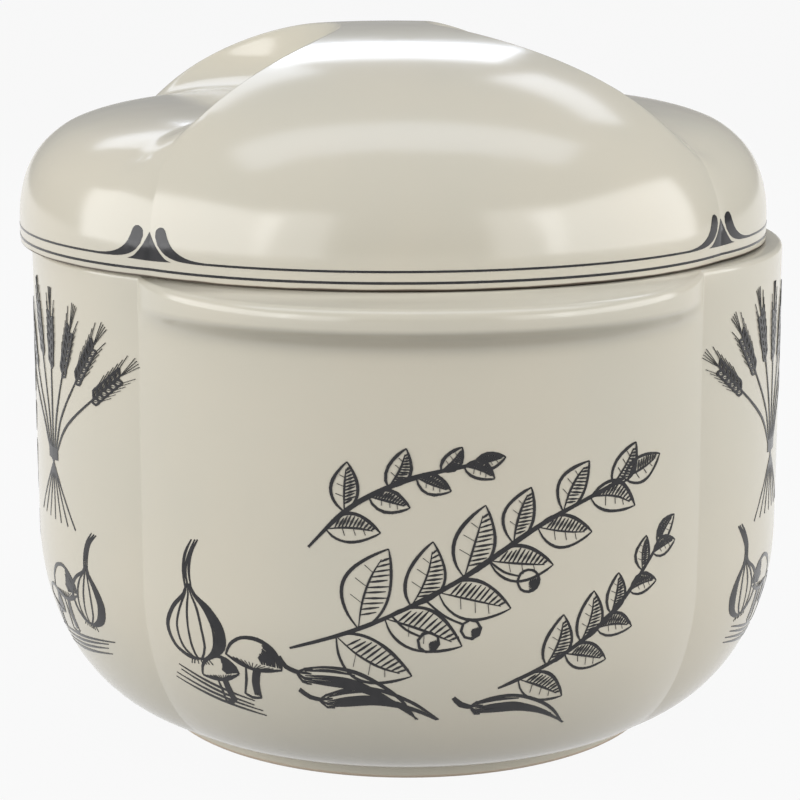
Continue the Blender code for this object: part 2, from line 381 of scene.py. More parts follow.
def belly_places(pot, foot_radius, low, inset, rings, first=1):
    """Placing rules of the belly's rings, from the foot out to the upright wall."""
    places = []
    for k in range(first, rings + 1):
        turn = QUARTER * (k / rings) ** BELLY_CROWDING
        spread = math.sin(turn) ** (2 / pot.belly_power)
        climb = 1 - max(math.cos(turn), 0.0) ** (2 / pot.belly_power)
        half = foot_radius + (pot.half - inset - foot_radius) * spread
        seam = foot_radius + (pot.seam - inset - foot_radius) * spread
        places.append(pot_place(low + (pot.belly_height - low) * climb, half, seam))
    return places


def foot_places(pot):
    """Placing rules of the foot ring, from its recess out to the belly."""
    inner = pot.foot_radius - pot.foot_width
    edge = pot.edge_round
    rounding = quarter_round(edge, EDGE_STEPS)
    steps = [(inner, pot.foot_recess)]
    steps += [(inner + back, drop) for back, drop in rounding]
    steps += [(pot.foot_radius - drop, back) for back, drop in rounding]
    steps.append((pot.foot_radius, pot.foot_height - edge))
    steps.append((pot.foot_radius + edge / 4, pot.foot_height - edge / 4))
    return [pot_place(height, radius, radius) for radius, height in steps]


def wall_places(pot):
    """Placing rules of the upright wall, the ledges and the rim's outer edge."""
    ledge_low = POT_TOP - pot.ledge_fall - pot.ledge_face
    wall_top = ledge_low - pot.ledge_hollow
    half, seam = pot.half - pot.taper, pot.seam - pot.taper
    places = []
    for k in range(1, WALL_RINGS + 1):
        inset = pot.taper * (k / WALL_RINGS) ** 2
        height = pot.belly_height + k / WALL_RINGS * (wall_top - pot.belly_height)
        places.append(pot_place(height, pot.half - inset, pot.seam - inset))
    for k in range(1, HOLLOW_RINGS + 1):
        height = ledge_low + (HOLLOW_CLIMB * k / HOLLOW_RINGS - 1) * pot.ledge_hollow
        reach = pot.ledge_reach * (1 - (1 - (k / HOLLOW_RINGS) ** HOLLOW_START) ** HOLLOW_END)
        places.append(pot_place(height, half, seam, reach))
    extra = pot.ledge_round - pot.rim_round
    for back, drop in quarter_round(1.0, RIM_STEPS):
        inset = pot.rim_round * back
        places.append(
            pot_place(
                POT_TOP - pot.rim_round * drop, half - inset, seam - inset,
                pot.ledge_reach - extra * back, pot.ledge_fall + extra * drop,
            )
        )
    for widths, reach, fall in LEDGE_TOP:
        inset = widths * pot.rim_round
        places.append(
            pot_place(
                POT_TOP, half - inset, seam - inset, reach * pot.ledge_reach, fall * pot.ledge_fall
            )
        )
    return places


def inside_places(pot):
    """Placing rules of the pot's inside, from the rim down to the floor."""
    mouth = pot.taper + pot.rim_width
    steps = []
    for back, drop in quarter_round(pot.edge_round, EDGE_STEPS):
        steps.append((mouth - drop, POT_TOP - back))
    steps.append((mouth, POT_TOP - pot.rim_depth))
    for k in range(1, MOUTH_RINGS + 1):
        share = k / MOUTH_RINGS
        inset = mouth + smooth_step(share) * (pot.wall - mouth)
        steps.append((inset, POT_TOP - pot.rim_depth * (1 + share)))
    places = [pot_place(height, pot.half - inset, pot.seam - inset) for inset, height in steps]
    floor = pot.foot_recess + pot.floor
    inner_foot = pot.foot_radius - pot.foot_width
    places += reversed(belly_places(pot, inner_foot, floor, pot.wall, INSIDE_RINGS))
    return places


def wall_point(pot, across, height):
    """A point of the pot's outer wall: across is the distance round from the front's middle."""
    angle = across / pot.half - QUARTER
    if height >= pot.belly_height:
        share = (height - pot.belly_height) / (POT_TOP - pot.belly_height)
        inset = pot.taper * share ** 2
        return polar(angle, outline(angle, pot.half - inset, pot.seam - inset), height)
    climb = (height - pot.foot_height) / (pot.belly_height - pot.foot_height)
    spread = (1 - (1 - climb) ** pot.belly_power) ** (1 / pot.belly_power)
    half = pot.foot_radius + (pot.half - pot.foot_radius) * spread
    seam = pot.foot_radius + (pot.seam - pot.foot_radius) * spread
    return polar(angle, outline(angle, half, seam), height)


# Lid

# Rings of the shoulder, of the upright edge and of the inside, and steps of the roundings
SHOULDER_RINGS = 15
SKIRT_RINGS = 4
LID_INSIDE_RINGS = 23
LID_EDGE_STEPS = 4

# Share of the way out where the crests turn into the shoulders, and how long the passage is
SHOULDER_START = 0.78
SHOULDER_PASSAGE = 0.14

# Rounds that find a share of the way out, because the outline itself changes with it
SHARE_ROUNDS = 3

# Turns round a scoop at which its crest is looked for, and how often a search halves its range
CREST_TURNS = 300
HALVINGS = 30

# Rows of points along a crest, in millimetres out from it
MILLIMETRE = 0.001
CREST_ROWS = (-2.6, -1.8, -1.2, -0.8, -0.4, 0.0, 0.4, 0.8, 1.2, 1.8, 2.6)

# Rows of points beside the ridge: how far inside the crest they start, how far apart they are
# and how far past the scoop's floor they go
HOLLOW_INSET = 0.0036
HOLLOW_ROW = 0.0010
HOLLOW_PAST = 0.002

# Columns and rows of the points on the rest of the top
GRID_COLUMN = 0.0026
GRID_ROW = 0.0022

# The least space round a new point along the crests, beside the ridge and on the rest
CREST_SPACE = 0.0008
HOLLOW_SPACE = 0.0009
GRID_SPACE = 0.0014

# Share of the patch that those points keep to
PATCH_REACH = 0.995


def dome_height(lid, share, wall=0.0):
    """Height of the dome over the skirt at a share of the way to the edge."""
    return lid.dome * math.sqrt(max(1 - share ** lid.dome_power, 0.0)) - wall


def lid_outline(lid, angle, share=1.0, wall=0.0):
    """Distance from the axis to the lid's outline, whose seams deepen towards the shoulder."""
    rise = min((1 - share) / (1 - lid.valley_share), 1.0)
    seam = lid.seam - wall - lid.valley * rise
    lean = lid.edge_lean + lid.valley_lean * rise
    return outline(angle - lid.lobes_turn, lid.half - wall, seam, lean)


def share_at(lid, x, y, wall=0.0):
    """Share of the way from the lid's axis to its edge at a plan point."""
    angle, radius = math.atan2(y, x), math.hypot(x, y)
    share = 1.0
    for _ in range(SHARE_ROUNDS):
        share = min(radius / lid_outline(lid, angle, share, wall), 1.0)
    return share


def scoop_height(lid, side, x, y, wall=0.0):
    """Height of a finger scoop's surface over the skirt."""
    axis = lid.ridge_x + side * lid.scoop_axis
    out = math.hypot(x - axis, (y - lid.ridge_y) * lid.scoop_narrowing) - wall - lid.scoop_radius
    run = lid.scoop_fillet * math.sin(lid.scoop_angle)
    if out <= 0.0:
        rise = 0.0
    elif out < run:
        rise = lid.scoop_fillet - math.sqrt(lid.scoop_fillet ** 2 - out ** 2)
    else:
        rise = lid.scoop_fillet * (1 - math.cos(lid.scoop_angle))
        rise += (out - run) * math.tan(lid.scoop_angle)
    fall = lid.scoop_fall * share_at(lid, x, y) ** lid.scoop_power
    return lid.scoop_floor * (1 - fall) - wall + rise


def soft_lower(one, other, softness):
    """The lower of two heights, with a smooth passage between them."""
    overlap = max(softness - abs(one - other), 0.0) / softness
    return min(one, other) - overlap ** 2 * softness / 4


def lid_height(lid, x, y, wall=0.0):
    """Height of the lid's top over its underside."""
    share = share_at(lid, x, y, wall)
    softness = lid.crest_round
    passage = smooth_step((share - SHOULDER_START) / SHOULDER_PASSAGE)
    softness += (lid.shoulder_round - lid.crest_round) * passage
    height = dome_height(lid, share, wall)
    for side in (-1, 1):
        height = soft_lower(height, scoop_height(lid, side, x, y, wall), softness)
    return lid.skirt + height


def scoop_point(lid, side, turn, radius):
    """A plan point at a turn and radius of a scoop's ovals."""
    x = lid.ridge_x + side * lid.scoop_axis + radius * math.cos(turn)
    return x, lid.ridge_y + radius * math.sin(turn) / lid.scoop_narrowing


def crest_radius(lid, side, turn):
    """How far from a scoop's axis its surface meets the dome, at a turn round that axis."""
    low, high = 0.0, lid.scoop_radius + 2 * lid.scoop_fillet
    for _ in range(HALVINGS):
        middle = (low + high) / 2
        x, y = scoop_point(lid, side, turn, middle)
        dome = dome_height(lid, share_at(lid, x, y))
        if scoop_height(lid, side, x, y) < dome and share_at(lid, x, y) < 1:
            low = middle
        else:
            high = middle
    return low


def top_points(lid):
    """Plan points of the lid's top: its patch's edge, the crests, the hollows and the rest."""
    steps = lid.steps
    points = []
    for k in range(steps):
        angle = lid.lobes_turn + crowd(2 * math.pi * k / steps, lid.edge_lean)
        radius = lid.patch_share * lid_outline(lid, angle, lid.patch_share)
        points.append((radius * math.cos(angle), radius * math.sin(angle)))
    reach = lid.patch_share * PATCH_REACH

    def add(candidates, space):
        tree = KDTree(len(points))
        for index, (x, y) in enumerate(points):
            tree.insert((x, y, 0.0), index)
        tree.balance()
        for x, y in candidates:
            if share_at(lid, x, y) < reach and tree.find((x, y, 0.0))[2] > space:
                points.append((x, y))

    crests, hollows = [], []
    for side in (-1, 1):
        for k in range(CREST_TURNS):
            turn = 2 * math.pi * k / CREST_TURNS
            crest = crest_radius(lid, side, turn)
            for off in CREST_ROWS:
                crests.append(scoop_point(lid, side, turn, crest + off * MILLIMETRE))
            radius = crest - HOLLOW_INSET
            while radius > lid.scoop_radius - HOLLOW_PAST:
                hollows.append(scoop_point(lid, side, turn, radius))
                radius -= HOLLOW_ROW
    add(crests, CREST_SPACE)
    add(hollows, HOLLOW_SPACE)
    rest = []
    rows = int(lid.half / GRID_ROW)
    for j in range(-rows, rows + 1):
        for i in range(-rows, rows + 1):
            rest.append(((i + 0.5 * (j % 2)) * GRID_COLUMN, j * GRID_ROW))
    add(rest, GRID_SPACE)
    return points


def lid_place(lid, height, inset):
    """The placing rule of a level ring of the lid's edge."""
    def place(angle):
        return polar(angle, lid_outline(lid, angle) - inset, height)
    return place


def shoulder_place(lid, share, wall=0.0):
    """The placing rule of a ring of the lid's top or inside at a share of the way out."""
    def place(angle):
        radius = share * lid_outline(lid, angle, share, wall)
        x, y = radius * math.cos(angle), radius * math.sin(angle)
        return Vector((x, y, max(lid_height(lid, x, y, wall), lid.skirt)))
    return place


def flange_place(lid, pot, height, inset):
    """The placing rule of a ring of the flange."""
    def place(angle):
        mouth = pot.taper + pot.rim_width + lid.flange_play + inset
        return polar(angle, outline(angle, pot.half - mouth, pot.seam - mouth), height)
    return place


def edge_places(lid, pot):
    """Placing rules from the lid's shoulder down its edge, its flange and up its inside."""
    places = []
    start = dome_height(lid, lid.patch_share)
    for k in range(1, SHOULDER_RINGS + 1):
        height = start * (1 - k / SHOULDER_RINGS)
        share = (1 - (height / lid.dome) ** 2) ** (1 / lid.dome_power)
        places.append(shoulder_place(lid, share))
    for k in range(1, SKIRT_RINGS):
        height = lid.skirt + k / SKIRT_RINGS * (lid.edge_round - lid.skirt)
        places.append(lid_place(lid, height, 0.0))
    for back, drop in quarter_round(lid.edge_round, LID_EDGE_STEPS):
        places.append(lid_place(lid, drop, back))
    bend = lid.flange_round
    places.append(flange_place(lid, pot, 0.0, -bend))
    places.append(flange_place(lid, pot, -bend / 4, -bend / 4))
    places.append(flange_place(lid, pot, -bend, 0.0))
    for back, drop in quarter_round(bend, LID_EDGE_STEPS):
        places.append(flange_place(lid, pot, drop - lid.flange_depth, back))
    places.append(flange_place(lid, pot, -lid.flange_depth, lid.flange_width - bend))
    places.append(flange_place(lid, pot, bend - lid.flange_depth, lid.flange_width))
    places.append(flange_place(lid, pot, 0.0, lid.flange_width))
    places.append(lid_place(lid, lid.wall, 2 * lid.wall))
    for k in range(LID_INSIDE_RINGS - 1, 0, -1):
        places.append(shoulder_place(lid, math.sin(QUARTER * k / LID_INSIDE_RINGS), lid.wall))
    return places


def seat_on_pot(piece, lid):
    """Turn and shift a piece of the lid to where the lid was put down, and apply it."""
    select_only(piece)
    piece.location = (lid.shift_x, lid.shift_y, POT_TOP + lid.gap)
    piece.rotation_euler = (0.0, 0.0, lid.twist)
    bpy.ops.object.transform_apply(location=True, rotation=True, scale=True)


def lid_side_point(lid, lobe, across, height):
    """A point of the lid's side: across is the distance round from a lobe's middle.

    It is measured along the edge, and reaches the same seam at every height.
    """
    share = 1.0
    if height > lid.skirt:
        share = (1 - ((height - lid.skirt) / lid.dome) ** 2) ** (1 / lid.dome_power)
    lean = lid.valley_lean * (1 - share) / (1 - lid.valley_share) * (1 if lobe % 2 else -1)
    reach = seam_distance(lid, lobe)
    angle = lid.lobes_turn + lobe * QUARTER + across / reach * (reach / LID_ROUND + lean)
    return polar(angle, share * lid_outline(lid, angle, share), height)


def seam_distance(lid, lobe):
    """Distance along the lid's edge from a lobe's middle to its seams.

    Lobe 0 is the right one, 1 the back one, 2 the left one and 3 the front one.
    """
    return LID_ROUND * (QUARTER / 2 + (lid.edge_lean if lobe % 2 else -lid.edge_lean))


# Paint

# No stroke is thinner than this
THINNEST_STROKE = 0.00006

# Two points closer together than this have no direction between them
NO_DISTANCE = 1e-9

# A drop from its head to its tail: distance from the seam, height, width
DROP = (
    (0.0040, 0.0143, 0.0004),
    (0.0041, 0.0140, 0.0024),
    (0.0042, 0.0134, 0.0036),
    (0.0044, 0.0122, 0.0043),
    (0.0051, 0.0105, 0.0043),
    (0.0064, 0.0089, 0.0038),
    (0.0084, 0.0075, 0.0029),
    (0.0112, 0.0064, 0.0019),
    (0.0150, 0.0057, 0.0010),
)

# Distances from the seam where the tail has become the upper line
TAIL_ENDS = (0.0200, 0.0260)

# A spearhead from its base to its tip: height, half width, dip of the base's middle
SPEARHEAD = (
    (0.0050, 0.0083, 0.0003),
    (0.0057, 0.0061, 0.0002),
    (0.0071, 0.0043, 0.0001),
    (0.0090, 0.0025, 0.0),
    (0.0110, 0.0011, 0.0),
    (0.0127, 0.0001, 0.0),
)


def curve_through(points, step):
    """Points every step or so on a smooth curve through (x, y, width) points."""
    ends = [points[0]] + list(points) + [points[-1]]
    result = []
    for a, b, c, d in zip(ends, ends[1:], ends[2:], ends[3:]):
        pieces = max(1, round(math.dist(b[:2], c[:2]) / step))
        for k in range(pieces):
            t = k / pieces
            row = []
            for pa, pb, pc, pd in zip(a, b, c, d):
                slope = pc - pa
                bend = 2 * pa - 5 * pb + 4 * pc - pd
                change = 3 * (pb - pc) + pd - pa
                row.append(pb + 0.5 * t * (slope + t * (bend + t * change)))
            result.append(row)
    result.append(list(points[-1]))
    return result


def stroke_sides(points, step=0.0016):
    """The two edges of a stroke through (x, y, width) points, as rows of flat points."""
    path = curve_through(points, step)
    sides = []
    for k, (x, y, width) in enumerate(path):
        ahead = path[min(k + 1, len(path) - 1)]
        behind = path[max(k - 1, 0)]
        along = Vector((ahead[0] - behind[0], ahead[1] - behind[1]))
        if along.length < NO_DISTANCE:
            along = Vector((1.0, 0.0))
        along.normalize()
        across = Vector((-along.y, along.x)) * max(width, THINNEST_STROKE) / 2
        sides.append((Vector((x, y)) - across, Vector((x, y)) + across))
    return sides


def add_patches(patches, columns):
    """Add one grid, share its rows out to the patches and cut it between them.

    A patch is two rows of flat points and the surface that they are put on.
    """
    places = [(side, surface) for sides, surface in patches for side in sides]
    rows = len(places) - 1
    bpy.ops.mesh.primitive_grid_add(x_subdivisions=rows, y_subdivisions=columns, size=2)
    piece = bpy.context.object
    row_of = []
    for point in piece.data.vertices:
        row = round((point.co.x + 1) / 2 * rows)
        row_of.append(row)
        (low, high), surface = places[row]
        spot = low.lerp(high, (point.co.y + 1) / 2)
        point.co = surface(spot.x, spot.y)
    lasts, last = set(), -1
    for sides, _ in patches:
        last += len(sides)
        lasts.add(last)
    bpy.ops.object.mode_set(mode="EDIT")
    bpy.ops.mesh.select_mode(type="FACE")
    bpy.ops.mesh.select_all(action="DESELECT")
    shape = bmesh.from_edit_mesh(piece.data)
    for face in shape.faces:
        face.select = min(row_of[point.index] for point in face.verts) in lasts
    bmesh.update_edit_mesh(piece.data)
    bpy.ops.mesh.delete(type="FACE")
    bpy.ops.object.mode_set(mode="OBJECT")
    return piece


def join_paint(name, parts, thickness):
    """Join painted parts to one piece, give it its thickness and shade it."""
    select_only(*parts)
    piece = parts[0]
    if len(parts) > 1:
        bpy.ops.object.join()
    piece.name = name
    piece.data.name = name
    bpy.ops.object.mode_set(mode="EDIT")
    bpy.ops.mesh.select_all(action="SELECT")
    bpy.ops.mesh.remove_doubles(threshold=MERGE_DISTANCE)
    bpy.ops.object.mode_set(mode="OBJECT")
    apply_solidify(piece, thickness)
    bpy.ops.object.mode_set(mode="EDIT")
    finish_mesh(smooth_angle=math.radians(40))
    return piece


def seam_flourish(paint, seam):
    """The stroke from a drop's head at a seam, along the upper line, to the next seam's drop.

    Distances are from the middle of the lobe, and it is the same from left to right.
    """
    side = [(seam - off, height, width) for off, height, width in DROP]
    side += [(seam - off, paint.high_line, paint.high_width) for off in TAIL_ENDS]
    left = [(-x, y, width) for x, y, width in side]
    return left + [(0.0, paint.high_line, paint.high_width)] + side[::-1]


def spearhead_sides(seam, side):
    """One half of a spearhead, from the seam at one side of a lobe out to its edge."""
    sides = []
    for height, width, dip in curve_through(SPEARHEAD, step=0.0007):
        middle = Vector((side * seam, height - dip))
        sides.append((middle, Vector((side * (seam - width), height))))
    return sides


# Drawings

# How quickly a stroke swells from its ends
SWELL = 0.6

# How unsteady the pen is: the least and most of a stroke's width, and of a point's shift
WIDTH_CHANCE = (0.85, 1.15)
SHIFT_CHANCE = (-0.012, 0.012)


def direction(heading):
    """The flat direction of a heading."""
    return Vector((math.cos(heading), math.sin(heading)))


def heading_between(start, end):
    """The heading from one flat point to another."""
    return math.atan2(end[1] - start[1], end[0] - start[0])


class Pen:
    """Draws ink strokes on the pot's wall, in metres round from the middle of a lobe and up.

    With flip -1 the drawing is turned over, left to right, about that middle. A stroke's weight
    is its width in pen widths, and its ends is the share of the width that its ends keep.
    """

    def __init__(self, pot, paint, seed, middle, flip=1):
        self.strokes = []
        self.pot = pot
        self.width = paint.pen
        self.chance = random.Random(seed)
        self.middle = middle
        self.flip = flip

    def surface(self, across, height):
        """The pot's wall under the pen."""
        return wall_point(self.pot, self.middle + self.flip * across, height)

    def line(self, points, weight=1.0, ends=0.35):
        """A stroke through (x, y) points, a little unsteady in its width."""
        last = len(points) - 1
        rows = []
        for k, (x, y) in enumerate(points):
            share = math.sin(math.pi * k / last)
            width = self.width * weight * (ends + (1 - ends) * share ** SWELL)
            rows.append((x, y, width * self.chance.uniform(*WIDTH_CHANCE)))
        self.strokes.append((stroke_sides(rows), self.surface))

    def shape(self, points, place, size, lean=0.0, weight=1.0, ends=0.5):
        """A stroke through points in units of a size, turned by a lean about a place."""
        rows = []
        for u, v in points:
            u += self.chance.uniform(*SHIFT_CHANCE)
            x = place[0] + size * (u * math.cos(lean) - v * math.sin(lean))
            y = place[1] + size * (u * math.sin(lean) + v * math.cos(lean))
            rows.append((x, y))
        self.line(rows, weight, ends)

    def leaf(self, base, heading, size, plump=0.3, shade=1):
        """A leaf: two edges, a rib, and veins that shade one half and barely mark the other.

        Steps and veins are in shares of the leaf's length.
        """
        edge_steps = (0.0, 0.12, 0.28, 0.45, 0.62, 0.78, 0.91, 1.0)
        rib_steps = (0.0, 0.3, 0.6, 0.86)
        dark_veins = [0.16 + 0.066 * k for k in range(11)]
        light_veins = (0.3, 0.5, 0.68)
        along = direction(heading)
        side = Vector((-along.y, along.x))
        bend = self.chance.uniform(-0.10, 0.10)

        def spot(t, off):
            middle = base + along * size * t + side * size * bend * math.sin(math.pi * t)
            return middle + side * off

        def breadth(t):
            return size * plump * math.sin(math.pi * min(t, 0.9999) ** 0.85) ** 0.9

        self.line([spot(t, breadth(t)) for t in edge_steps], weight=1.1)
        self.line([spot(t, -breadth(t)) for t in edge_steps], weight=0.9)
        self.line([spot(t, 0.0) for t in rib_steps], weight=0.7)
        for t in dark_veins:
            reach = shade * breadth(t + 0.05) * self.chance.uniform(0.75, 0.96)
            vein = [spot(t, 0.0), spot(t + 0.05, reach / 2), spot(t + 0.1, reach)]
            self.line(vein, weight=0.75)
        for t in light_veins:
            reach = -shade * breadth(t + 0.04) * self.chance.uniform(0.5, 0.7)
            self.line([spot(t, 0.0), spot(t + 0.05, reach)], weight=0.5)

    def berry(self, centre, radius):
        """A round berry with a shaded side."""
        start = self.chance.uniform(0, 2 * math.pi)
        whole_turn = [start + 2 * math.pi * k / 8 for k in range(9)]
        shaded_turn = (-1.5, -0.9, -0.3, 0.3)
        shaded_shares = [0.84 - 0.15 * k for k in range(5)]

        def arc(reach, turns):
            return [centre + direction(turn) * reach for turn in turns]

        self.line(arc(radius, whole_turn), weight=0.9, ends=0.8)
        for share in shaded_shares:
            self.line(arc(radius * share, shaded_turn), weight=0.7)

    def sprig(self, stem, leaves, leaf_size, berries=()):
        """A stem through (x, y) points, with leaves on both sides and berries on stalks.

        A berry is its share of the way up the stem, its side, its stalk's length and its radius.
        """
        first_leaf, last_leaf = 0.14, 0.94
        leaf_turn, berry_turn = 0.9, 1.1
        sag = Vector((0.0, -0.001))
        path = [row[:2] for row in curve_through([(x, y, 0.0) for x, y in stem], step=0.002)]
        last = len(path) - 1
        self.line(path[::3] + path[-1:], weight=1.6, ends=0.45)
        for k in range(leaves):
            share = first_leaf + (last_leaf - first_leaf) * k / (leaves - 1)
            at = round(share * last)
            heading = heading_between(path[max(at - 2, 0)], path[min(at + 2, last)])
            side = 1 if k % 2 else -1
            size = leaf_size * (1.0 - 0.45 * share) * self.chance.uniform(0.9, 1.1)
            turn = heading + side * leaf_turn * (1.0 - 0.35 * share)
            self.leaf(Vector(path[at]), turn, size, plump=0.27, shade=-side)
        heading = heading_between(path[-4], path[-1])
        self.leaf(Vector(path[-1]), heading, leaf_size * 0.6, plump=0.25)
        for share, side, reach, radius in berries:
            at = round(share * last)
            start = Vector(path[at])
            heading = heading_between(start, path[min(at + 2, last)]) + side * berry_turn
            end = start + direction(heading) * reach
            self.line([start, (start + end) / 2 + sag, end], weight=0.8, ends=0.7)
            self.berry(end + (end - start).normalized() * radius, radius)

    def mushroom(self, place, size, lean=0.0):
        """A mushroom: cap, gills and stem, with its right side in shade."""
        cap = (
            (-0.5, 0.0), (-0.43, 0.2), (-0.22, 0.37), (0.05, 0.42), (0.3, 0.33), (0.46, 0.15),
            (0.5, 0.0),
        )
        under = ((-0.5, 0.0), (-0.25, -0.09), (0.0, -0.12), (0.25, -0.09), (0.5, 0.0))
        foot = ((-0.15, -0.62), (0.0, -0.67), (0.15, -0.62))
        gills, cap_shades, stem_shades = 6, 9, 5
        cap_reach, cap_height = 0.5, 0.42
        self.shape(cap, place, size, lean, weight=1.3)
        self.shape(under, place, size, lean, weight=1.2)
        for k in range(-gills, gills + 1):
            self.shape(((0.075 * k, -0.01), (0.02 * k, -0.11)), place, size, lean, weight=0.6)
        for k in range(cap_shades):
            inner = 0.95 - 0.075 * k
            arc = []
            for turn in (1.25 - 0.03 * k, 0.8, 0.4, 0.06):
                u, v = inner * cap_reach * math.cos(turn), inner * cap_height * math.sin(turn)
                arc.append((u, v))
            self.shape(arc, place, size, lean, weight=0.9)
        for side, weight in ((-1, 1.1), (1, 1.4)):
            stem = ((0.12 * side, -0.11), (0.10 * side, -0.35), (0.15 * side, -0.62))
            self.shape(stem, place, size, lean, weight)
        self.shape(foot, place, size, lean, weight=1.2)
        for k in range(stem_shades):
            right = 0.105 - 0.022 * k
            shade = ((right, -0.14), (right - 0.01, -0.35), (right + 0.02, -0.6))
            self.shape(shade, place, size, lean, weight=0.8)

    def garlic(self, place, size, lean=0.0):
        """A head of garlic: its cloves' ribs, roots and stalk, with its right side in shade."""
        side = (
            (0.03, 0.48), (0.08, 0.36), (0.28, 0.2), (0.41, -0.02), (0.36, -0.25), (0.15, -0.38),
            (0.02, -0.4),
        )
        ribs = (-1.0, -0.62, -0.22, 0.3, 0.68, 0.74, 0.8, 0.85, 0.9, 0.95, 1.0)
        outline_weight, rib_weight = 1.4, 0.85
        roots = [-0.12 + 0.04 * k for k in range(7)]
        stalk_strokes = (-0.04, 0.0, 0.04)
        for share in ribs:
            weight = outline_weight if abs(share) == 1.0 else rib_weight
            self.shape([(u * share, v) for u, v in side], place, size, lean, weight)
        for u in roots:
            self.shape(((u, -0.38), (u * 1.4 + 0.01, -0.46)), place, size, lean, weight=0.8)
        for u in stalk_strokes:
            stalk = ((u, 0.42), (u - 0.01, 0.62), (u + 0.06, 0.82), (u * 1.3 + 0.18, 0.98))
            self.shape(stalk, place, size, lean)

    def chilli(self, place, size, lean=0.0):
        """A chilli: a curved dark pod with a highlight, its cap and its stalk."""
        spine = ((0.0, 0.0), (0.2, 0.03), (0.42, 0.03), (0.63, -0.03), (0.82, -0.13), (1.0, -0.28))
        half = (0.060, 0.082, 0.078, 0.060, 0.036, 0.0)
        stalk = ((-0.05, 0.01), (-0.16, 0.04), (-0.24, 0.12))

        # Strokes that darken the pod: share of the way to its edge, points that they pass
        shades = ((-0.72, 6), (-0.42, 5), (-0.1, 4), (0.62, 3))
        cap_strokes = (-0.07, -0.03, 0.02, 0.06)

        def lengthwise(share):
            return [(u, v + share * reach) for (u, v), reach in zip(spine, half)]

        for edge in (1.0, -1.0):
            self.shape(lengthwise(edge), place, size, lean, weight=1.2, ends=0.4)
        for share, far in shades:
            self.shape(lengthwise(share)[:far], place, size, lean, ends=0.3)
        for v in cap_strokes:
            cap = ((-0.07, 0.01), (0.0, v), (0.06, v * 1.1))
            self.shape(cap, place, size, lean, weight=0.9)
        self.shape(stalk, place, size, lean, weight=1.8, ends=0.8)

    def ear(self, stem, size):
        """A stalk through (x, y) points with an ear of wheat at its end."""
        pairs, grain_turn, grain_size = 6, 0.5, 0.27
        awn_turns, awn_start, awn_end = (-0.16, -0.05, 0.06, 0.17), 0.15, 0.55
        self.line(stem, ends=0.7)
        start = Vector(stem[-1])
        heading = heading_between(stem[-2], stem[-1])
        along = direction(heading)
        for k in range(pairs):
            for side in (-1, 1):
                base = start + along * size * (k + 0.5 * (side > 0)) / (pairs + 0.5)
                self.grain(base, heading + side * grain_turn, size * grain_size, side)
        tip = start + along * size
        for turn in awn_turns:
            way = direction(heading + turn)
            self.line([tip - way * size * awn_start, tip + way * size * awn_end], weight=0.5)

    def grain(self, base, heading, size, side):
        """One grain of an ear, with its awn."""
        along = direction(heading)
        out = Vector((-along.y, along.x)) * size * 0.24
        middle, tip = base + along * size * 0.5, base + along * size
        self.line([base, middle + out, tip], ends=0.6)
        self.line([base, middle - out, tip], ends=0.6)
        self.line([base + out * 0.2, tip - out * 0.2], weight=0.8)
        self.line([tip, tip + along * size * 1.2 - out * side * 1.2], weight=0.5)

    def bundle(self, place, stalks, height, spread):
        """Ears of wheat that fan out from a tied waist at a place."""
        band, band_strokes, band_gap = spread * 0.11, 7, height * 0.008
        x, y = place
        for k in range(stalks):
            way = (k / (stalks - 1) - 0.5) * 2
            reach = height * (0.72 - 0.18 * way * way) * self.chance.uniform(0.92, 1.05)
            foot = (x - way * spread * 0.42, y - height * 0.34)
            waist = (x + way * spread * 0.07, y)
            top = (x + way * spread * 0.72, y + reach * 0.62)
            middle = (x + way * spread * 0.30, y + reach * 0.3)
            self.ear([foot, waist, middle, top], height * 0.26)
        for k in range(band_strokes):
            level = y + (k - band_strokes // 2) * band_gap
            self.line([(x - band, level), (x, level - 0.0004), (x + band, level)], ends=0.8)

    def ground(self, start, end, rows):
        """Long loose strokes of shade on the ground under a group."""
        gap = 0.0016
        for k in range(rows):
            drop = -gap * k
            cut = (end[0] - start[0]) * self.chance.uniform(0.0, 0.2)
            left = (start[0] + cut, start[1] + drop)
            middle = ((start[0] + end[0]) / 2, (start[1] + end[1]) / 2 + drop - 0.0006)
            self.line([left, middle, (end[0] - cut, end[1] + drop)])

    def finish(self, name, thickness):
        """Join all its strokes to one piece."""
        return join_paint(name, [add_patches(self.strokes, columns=1)], thickness)


def draw_long_lobe(pen):
    """The herbs of the front and the back lobe."""
    stem = ((-0.040, 0.052), (-0.018, 0.060), (0.006, 0.072), (0.032, 0.088), (0.058, 0.098))
    berries = ((0.30, -1, 0.010, 0.0030), (0.38, -1, 0.013, 0.0028), (0.58, -1, 0.010, 0.0032))
    pen.sprig(stem, leaves=12, leaf_size=0.025, berries=berries)
    stem = ((0.020, 0.040), (0.038, 0.048), (0.056, 0.060), (0.072, 0.076))
    pen.sprig(stem, leaves=9, leaf_size=0.018)
    stem = ((-0.034, 0.082), (-0.022, 0.094), (-0.006, 0.102), (0.012, 0.106))
    pen.sprig(stem, leaves=7, leaf_size=0.015)
    pen.chilli((-0.036, 0.044), size=0.034, lean=-0.12)
    pen.chilli((-0.030, 0.036), size=0.032, lean=0.10)
    pen.chilli((0.014, 0.034), size=0.030, lean=-0.02)
    pen.garlic((-0.072, 0.054), size=0.026, lean=0.12)
    pen.mushroom((-0.052, 0.046), size=0.018, lean=-0.15)
    pen.mushroom((-0.064, 0.040), size=0.014, lean=0.2)
    pen.ground((-0.084, 0.040), (-0.050, 0.033), rows=4)


